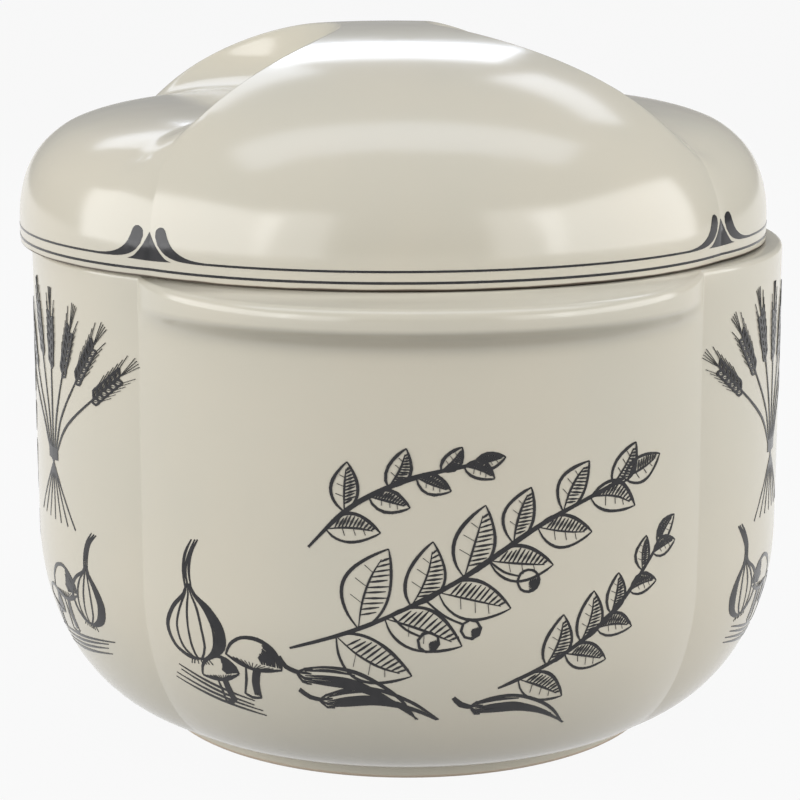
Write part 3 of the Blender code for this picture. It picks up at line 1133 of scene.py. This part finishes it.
def draw_side_lobe(pen):
    """The herbs of the left and the right lobe, with the fuller group towards the front."""
    pen.bundle((0.046, 0.093), stalks=7, height=0.062, spread=0.037)
    pen.garlic((0.066, 0.052), size=0.022, lean=-0.1)
    pen.mushroom((0.050, 0.050), size=0.020, lean=0.1)
    pen.mushroom((0.038, 0.043), size=0.014, lean=-0.2)
    pen.ground((0.030, 0.034), (0.078, 0.040), rows=4)
    stem = ((0.004, 0.036), (-0.004, 0.060), (0.004, 0.088), (0.010, 0.114))
    pen.sprig(stem, leaves=12, leaf_size=0.024)
    pen.bundle((-0.044, 0.088), stalks=6, height=0.060, spread=0.034)
    pen.chilli((-0.064, 0.046), size=0.032, lean=0.15)
    pen.chilli((-0.052, 0.038), size=0.030, lean=0.02)


# Materials

# Sockets of a Mix node that mixes colours: its factor, its two colours and its result
MIX_FACTOR, MIX_ONE, MIX_OTHER, MIX_RESULT = 0, 6, 7, 2


class Maths:
    """A socket that Python's operators add Math nodes to."""

    def __init__(self, tree, socket):
        self.tree = tree
        self.socket = socket

    def _with(self, operation, one, other):
        node = add_node(self.tree, "ShaderNodeMath", {"operation": operation}, {0: one, 1: other})
        return Maths(self.tree, node.outputs[0])

    def __add__(self, other):
        return self._with("ADD", self, other)

    def __sub__(self, other):
        return self._with("SUBTRACT", self, other)

    def __rsub__(self, other):
        return self._with("SUBTRACT", other, self)

    def __mul__(self, other):
        return self._with("MULTIPLY", self, other)

    def __lt__(self, other):
        return self._with("LESS_THAN", self, other)

    def __gt__(self, other):
        return self._with("GREATER_THAN", self, other)

    __radd__ = __add__
    __rmul__ = __mul__

    def above(self, low, high):
        """0 below low, 1 above high and a smooth rise between."""
        node = add_node(
            self.tree, "ShaderNodeMapRange", {"interpolation_type": "SMOOTHSTEP"},
            {"Value": self, "From Min": low, "From Max": high},
        )
        return Maths(self.tree, node.outputs["Result"])


def add_node(tree, kind, settings=(), inputs=()):
    """A node of a kind, with its settings and then its sockets' values or links."""
    node = tree.nodes.new(kind)
    for name, value in dict(settings).items():
        setattr(node, name, value)
    for name, value in dict(inputs).items():
        if isinstance(value, Maths):
            value = value.socket
        if isinstance(value, bpy.types.NodeSocket):
            tree.links.new(value, node.inputs[name])
        else:
            node.inputs[name].default_value = value
    return node


def start_material(name, shown):
    """A material with a Principled shader: (material, tree, shader)."""
    material = bpy.data.materials.new(name)
    material.use_nodes = True
    material.diffuse_color = (*shown, 1.0)
    tree = material.node_tree
    return material, tree, tree.nodes["Principled BSDF"]


def mix_colour(tree, share, one, other):
    """A colour between two, each a colour or a socket."""
    one, other = [
        value if isinstance(value, bpy.types.NodeSocket) else (*value, 1.0)
        for value in (one, other)
    ]
    node = add_node(
        tree, "ShaderNodeMix", {"data_type": "RGBA"},
        {MIX_FACTOR: share, MIX_ONE: one, MIX_OTHER: other},
    )
    return node.outputs[MIX_RESULT]


def noise(tree, place, scale, detail=2.0):
    """Noise from 0 to 1 on a piece's own coordinates."""
    node = add_node(
        tree, "ShaderNodeTexNoise", {}, {"Vector": place, "Scale": scale, "Detail": detail}
    )
    return Maths(tree, node.outputs["Fac"])


def iron_specks(tree, place):
    """How dark small specks strewn over a piece make it, and 0 between them."""
    chosen_above = 0.86
    smallest, spread, darkness = 0.012, 0.030, 0.75
    cells = add_node(tree, "ShaderNodeTexVoronoi", {}, {"Vector": place, "Scale": 95.0})
    chance = add_node(tree, "ShaderNodeSeparateColor", {}, {"Color": cells.outputs["Color"]})
    chosen = Maths(tree, chance.outputs["Red"]) > chosen_above
    size = Maths(tree, chance.outputs["Green"]) * spread + smallest
    near = 1 - Maths(tree, cells.outputs["Distance"]).above(smallest, size)
    return near * chosen * darkness


def bare_clay_and_seat_shade(tree, place, low, high):
    """1 where a piece is bare between two heights, 0 where it is glazed, with a ragged edge. On
    the lid this band is also where the painted contact shadow goes.
    """
    ragged, soft = 0.0006, 0.0004
    split = add_node(tree, "ShaderNodeSeparateXYZ", {}, {"Vector": place})
    height = Maths(tree, split.outputs["Z"])
    edge = height + noise(tree, place, scale=70.0) * ragged
    return (1 - edge.above(high, high + soft)) * (height > low)


def glaze_material(finishes, name, bare_low, bare_high, clay):
    """The glossy ivory glaze, with soft clouds, iron specks and a faint ripple.

    Between the two heights the surface takes the given clay colour instead: bare clay on the foot,
    and on the lid's edge bare clay darkened with painted shade for the contact shadow at its seat.
    """
    cloud_low, cloud_high = 0.35, 0.65
    uneven_gloss, clay_roughness = 0.04, 0.5
    waves, grain = 0.7, 0.02
    material, tree, shader = start_material(name, finishes.glaze)
    place = add_node(tree, "ShaderNodeTexCoord").outputs["Object"]
    clouds = noise(tree, place, scale=14.0, detail=3.0).above(cloud_low, cloud_high)
    tint = mix_colour(tree, clouds, finishes.glaze, finishes.thin_glaze)
    tint = mix_colour(tree, iron_specks(tree, place), tint, finishes.speck)
    bare = bare_clay_and_seat_shade(tree, place, bare_low, bare_high)
    # The band's colour: bare clay on the foot; on the lid, the seat colour with its painted
    # contact shadow
    tint = mix_colour(tree, bare, tint, clay)
    roughness = noise(tree, place, scale=60.0) * uneven_gloss + finishes.glaze_roughness
    roughness = roughness + bare * clay_roughness
    ripple = noise(tree, place, scale=45.0, detail=1.0) * waves
    ripple = ripple + noise(tree, place, scale=700.0) * grain
    bump = add_node(
        tree, "ShaderNodeBump", {}, {"Height": ripple, "Strength": 0.25, "Distance": 0.0006}
    )
    tree.links.new(tint, shader.inputs["Base Color"])
    tree.links.new(roughness.socket, shader.inputs["Roughness"])
    tree.links.new(bump.outputs["Normal"], shader.inputs["Normal"])
    shader.inputs["IOR"].default_value = finishes.glaze_index
    return material


def black_material(finishes):
    """Fired black paint, glossy and a little uneven."""
    wash_low, wash_high, uneven_gloss = 0.35, 0.75, 0.08
    material, tree, shader = start_material("black_paint", finishes.black)
    place = add_node(tree, "ShaderNodeTexCoord").outputs["Object"]
    wash = noise(tree, place, scale=240.0).above(wash_low, wash_high)
    tint = mix_colour(tree, wash, finishes.black, finishes.thin_black)
    roughness = wash * uneven_gloss + finishes.black_roughness
    tree.links.new(tint, shader.inputs["Base Color"])
    tree.links.new(roughness.socket, shader.inputs["Roughness"])
    shader.inputs["IOR"].default_value = finishes.black_index
    return material


def shared_black(context):
    """The one black that every painted piece has."""
    return bpy.data.materials.get("black_paint") or black_material(context.scene.terrine_finishes)


def dress(piece, material, body, node=None):
    """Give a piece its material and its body."""
    piece.data.materials.clear()
    piece.data.materials.append(material)
    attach(piece, body)
    if node:
        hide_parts(node)


# Stage

WHITE = (1.0, 1.0, 1.0)
DAYLIGHT = (0.92, 0.98, 1.12)

# The points that the high and the low softboxes face
HIGH_AIM = (0.0, 0.0, 0.2)
LOW_AIM = (0.0, 0.0, 0.13)

# High softboxes: name, place, the point it faces, width, height, brightness
HIGH_BOXES = (
    ("top_strip", (0.0, -0.17, 1.55), (0.0, -0.17, 0.0), 2.2, 0.50, 1.95),
    ("back_strip", (0.02, 1.37, 1.04), HIGH_AIM, 0.62, 0.40, 4.3),
    ("left_back_box", (-0.56, 1.12, 1.24), HIGH_AIM, 0.70, 0.50, 2.1),
    ("right_back_box", (0.73, 0.90, 1.44), HIGH_AIM, 0.80, 0.30, 2.5),
)

# Low softboxes: name, degrees to the right of the front, width, brightness
LOW_BOXES = (
    ("left_box", -72, 1.85, 3.2),
    ("left_front_box", -34, 0.62, 1.9),
    ("right_box", 72, 1.85, 3.0),
    ("right_front_box", 36, 0.62, 1.7),
)

# How far the low softboxes stand from the axis, how high their middle is and how tall they are
LOW_BOX_DISTANCE = 1.5
LOW_BOX_MIDDLE = 0.50
LOW_BOX_HEIGHT = 0.92


def add_softbox(name, place, aim, width, height, glow, tint):
    """A rectangular lamp at a place, turned to a point, whose face has a brightness and tint."""
    lamp = bpy.data.lights.new(name, "AREA")
    lamp.color = tint
    lamp.shape = "RECTANGLE"
    lamp.size = width
    lamp.size_y = height
    lamp.energy = glow * math.pi * width * height
    holder = bpy.data.objects.new(name, lamp)
    holder.location = place
    holder.rotation_euler = (Vector(aim) - Vector(place)).to_track_quat("-Z", "Y").to_euler()
    bpy.context.scene.collection.objects.link(holder)


def add_softboxes():
    """The studio's softboxes."""
    for name, place, aim, width, height, glow in HIGH_BOXES:
        add_softbox(name, place, aim, width, height, glow, DAYLIGHT)
    for name, degrees, width, glow in LOW_BOXES:
        turn = math.radians(degrees)
        x, y = LOW_BOX_DISTANCE * math.sin(turn), -LOW_BOX_DISTANCE * math.cos(turn)
        place = (x, y, LOW_BOX_MIDDLE)
        add_softbox(name, place, LOW_AIM, width, LOW_BOX_HEIGHT, glow, WHITE)


def floor_material(stage):
    """A matt floor that is nearly white to the camera and in reflections."""
    grey = stage.floor_grey
    material, tree, shader = start_material("pale_floor", WHITE)
    shader.inputs["Base Color"].default_value = (grey, grey, grey, 1.0)
    shader.inputs["Roughness"].default_value = 0.9
    shader.inputs["Specular IOR Level"].default_value = 0.0
    white = add_node(tree, "ShaderNodeEmission", {}, {"Strength": 1.0})
    rays = add_node(tree, "ShaderNodeLightPath").outputs
    seen = Maths(tree, rays["Is Camera Ray"]) + Maths(tree, rays["Is Glossy Ray"])
    seen = (seen + Maths(tree, rays["Is Transmission Ray"])) * stage.white_floor
    mixed = add_node(
        tree, "ShaderNodeMixShader", {}, {0: seen, 1: shader.outputs[0], 2: white.outputs[0]}
    )
    output = tree.nodes["Material Output"]
    tree.links.new(mixed.outputs[0], output.inputs["Surface"])
    return material


def add_room(stage):
    """The even light of the room."""
    world = bpy.data.worlds.new("studio")
    world.use_nodes = True
    background = world.node_tree.nodes["Background"]
    background.inputs["Color"].default_value = (*WHITE, 1.0)
    background.inputs["Strength"].default_value = stage.room
    bpy.context.scene.world = world


def add_camera(stage):
    """The camera of the photograph's viewpoint."""
    lens = bpy.data.cameras.new("photo_view")
    lens.lens = stage.lens
    lens.sensor_width = 36.0
    camera = bpy.data.objects.new("photo_view", lens)
    camera.location = stage.camera_place
    camera.rotation_euler = (QUARTER - stage.camera_tilt, 0.0, -stage.camera_turn)
    bpy.context.scene.collection.objects.link(camera)
    bpy.context.scene.camera = camera


# Operators

# The foot is bare up to this height, from anywhere below it
FOOT_BARE = 0.0011
BELOW_ALL = -1.0

# How far below and above its lowest point the lid's edge is bare clay, painted dark as the contact
# shadow on the rim
SEAT_BELOW = 0.0002
SEAT_ABOVE = 0.0007

# Which triangles the plan of the lid's top gives, and how exact it is
INSIDE_ONLY = 1
PLAN_TOLERANCE = 1e-7

# Steps of the lower line from a lobe's middle to its seam
LINE_STEPS = 4


class TERRINE_OT_pot(bpy.types.Operator):
    """Add the glazed pot"""

    bl_idname = "terrine.pot"
    bl_label = "Glazed Pot"

    def execute(self, context):
        pot = context.scene.terrine_pot
        foot = foot_places(pot)
        piece = start_ring("glazed_pot", pot.steps, foot[0])
        close_ring()
        belly = belly_places(
            pot, pot.foot_radius, pot.foot_height, 0.0, BELLY_RINGS, FIRST_BELLY_RING
        )
        for place in foot[1:] + belly + wall_places(pot) + inside_places(pot):
            add_ring(piece, place)
        close_ring()
        finish_mesh(smooth_angle=math.radians(50))
        finishes = context.scene.terrine_finishes
        glaze = glaze_material(finishes, "pot_glaze", BELOW_ALL, FOOT_BARE, finishes.clay)
        dress(piece, glaze, "pot", "pot")
        return {"FINISHED"}


class TERRINE_OT_lid(bpy.types.Operator):
    """Add the glazed lid"""

    bl_idname = "terrine.lid"
    bl_label = "Glazed Lid"

    def execute(self, context):
        lid = context.scene.terrine_lid
        pot = context.scene.terrine_pot
        plan = [Vector(point) for point in top_points(lid)]
        edge = [(k, (k + 1) % lid.steps) for k in range(lid.steps)]
        plan, _, faces, _, _, _ = delaunay_2d_cdt(plan, edge, [], INSIDE_ONLY, PLAN_TOLERANCE)
        mesh = bpy.data.meshes.new("glazed_lid")
        top = [(x, y, lid_height(lid, x, y)) for x, y in plan]
        mesh.from_pydata(top, [], faces)
        piece = bpy.data.objects.new("glazed_lid", mesh)
        context.scene.collection.objects.link(piece)
        select_only(piece)
        bpy.ops.object.mode_set(mode="EDIT")
        bpy.ops.mesh.select_mode(type="EDGE")
        bpy.ops.mesh.select_all(action="DESELECT")
        bpy.ops.mesh.select_non_manifold(use_wire=False, use_multi_face=False, use_verts=False)
        for place in edge_places(lid, pot):
            add_ring(piece, place)
        close_ring()
        finish_mesh(smooth_angle=math.radians(55))
        seat_on_pot(piece, lid)
        finishes = context.scene.terrine_finishes
        # The band round the seat takes the seat colour: painted shade for the contact shadow
        # between lid and rim
        shaded_seat = POT_TOP + lid.gap
        low, high = shaded_seat - SEAT_BELOW, shaded_seat + SEAT_ABOVE
        glaze = glaze_material(finishes, "lid_glaze", low, high, finishes.shaded_seat)
        dress(piece, glaze, "lid", "lid")
        return {"FINISHED"}


class TERRINE_OT_lid_paint(bpy.types.Operator):
    """Add the painted lines and the seam ornaments of the lid"""

    bl_idname = "terrine.lid_paint"
    bl_label = "Lid Paint"

    def execute(self, context):
        lid = context.scene.terrine_lid
        paint = context.scene.terrine_paint
        lines, flourishes, spears = [], [], []
        for lobe in range(4):
            def surface(across, height, lobe=lobe):
                return lid_side_point(lid, lobe, across, height)

            seam = seam_distance(lid, lobe)
            steps = range(-LINE_STEPS, LINE_STEPS + 1)
            line = [(seam * k / LINE_STEPS, paint.low_line, paint.low_width) for k in steps]
            lines.append((stroke_sides(line), surface))
            flourishes.append((stroke_sides(seam_flourish(paint, seam)), surface))
            spears += [(spearhead_sides(seam, side), surface) for side in (-1, 1)]
        parts = [
            add_patches(lines, columns=1),
            add_patches(flourishes, columns=3),
            add_patches(spears, columns=5),
        ]
        piece = join_paint("lid_paint", parts, paint.thickness)
        seat_on_pot(piece, lid)
        dress(piece, shared_black(context), "lid")
        return {"FINISHED"}


class TERRINE_OT_drawings(bpy.types.Operator):
    """Add the pen-drawn herbs on the pot"""

    bl_idname = "terrine.drawings"
    bl_label = "Pen Drawings"

    def execute(self, context):
        pot = context.scene.terrine_pot
        paint = context.scene.terrine_paint
        lobe = pot.half * QUARTER

        # Each drawing: name, herbs, middle of its lobe round the wall, seed of its chances, flip
        drawings = (
            ("front_drawing", draw_long_lobe, 0.0, 3, 1),
            ("back_drawing", draw_long_lobe, 2 * lobe, 11, -1),
            ("left_drawing", draw_side_lobe, -lobe, 5, 1),
            ("right_drawing", draw_side_lobe, lobe, 7, -1),
        )
        for name, draw, middle, seed, flip in drawings:
            pen = Pen(pot, paint, seed, middle, flip)
            draw(pen)
            piece = pen.finish(name, paint.thickness)
            dress(piece, shared_black(context), "pot")
        return {"FINISHED"}


class TERRINE_OT_stage(bpy.types.Operator):
    """Add the floor, the softboxes and the camera"""

    bl_idname = "terrine.stage"
    bl_label = "Stage"

    def execute(self, context):
        stage = context.scene.terrine_stage
        bpy.ops.object.select_all(action="DESELECT")
        bpy.ops.mesh.primitive_plane_add(size=40.0)
        floor = context.object
        floor.name = "floor"
        floor.data.materials.append(floor_material(stage))
        add_room(stage)
        add_softboxes()
        add_camera(stage)
        context.scene.view_settings.view_transform = "Standard"
        return {"FINISHED"}


class TERRINE_PT_panel(bpy.types.Panel):
    """Lists the pieces and their sizes"""

    bl_idname = "TERRINE_PT_panel"
    bl_label = "Terrine"
    bl_space_type = "VIEW_3D"
    bl_region_type = "UI"
    bl_category = "Terrine"

    def draw(self, context):
        for operator in OPERATORS:
            self.layout.operator(operator.bl_idname)
        for name, group in GROUPS.items():
            for field in group.__annotations__:
                self.layout.prop(getattr(context.scene, name), field)


OPERATORS = (
    TERRINE_OT_pot,
    TERRINE_OT_lid,
    TERRINE_OT_lid_paint,
    TERRINE_OT_drawings,
    TERRINE_OT_stage,
)
GROUPS = {
    "terrine_pot": PotSizes,
    "terrine_lid": LidSizes,
    "terrine_paint": PaintSizes,
    "terrine_finishes": Finishes,
    "terrine_stage": StageSetting,
}


def register():
    """Register the properties, the operators and the panel."""
    for group in GROUPS.values():
        bpy.utils.register_class(group)
    for name, group in GROUPS.items():
        setattr(bpy.types.Scene, name, bpy.props.PointerProperty(type=group))
    for operator in OPERATORS:
        bpy.utils.register_class(operator)
    bpy.utils.register_class(TERRINE_PT_panel)


def unregister():
    """Take all of them away again, in the opposite order."""
    bpy.utils.unregister_class(TERRINE_PT_panel)
    for operator in reversed(OPERATORS):
        bpy.utils.unregister_class(operator)
    for name in GROUPS:
        delattr(bpy.types.Scene, name)
    for group in reversed(GROUPS.values()):
        bpy.utils.unregister_class(group)


def main():
    """Add every piece and the stage."""
    register()
    bpy.ops.terrine.pot()
    bpy.ops.terrine.lid()
    bpy.ops.terrine.lid_paint()
    bpy.ops.terrine.drawings()
    bpy.ops.terrine.stage()


if __name__ == "__main__":
    main()
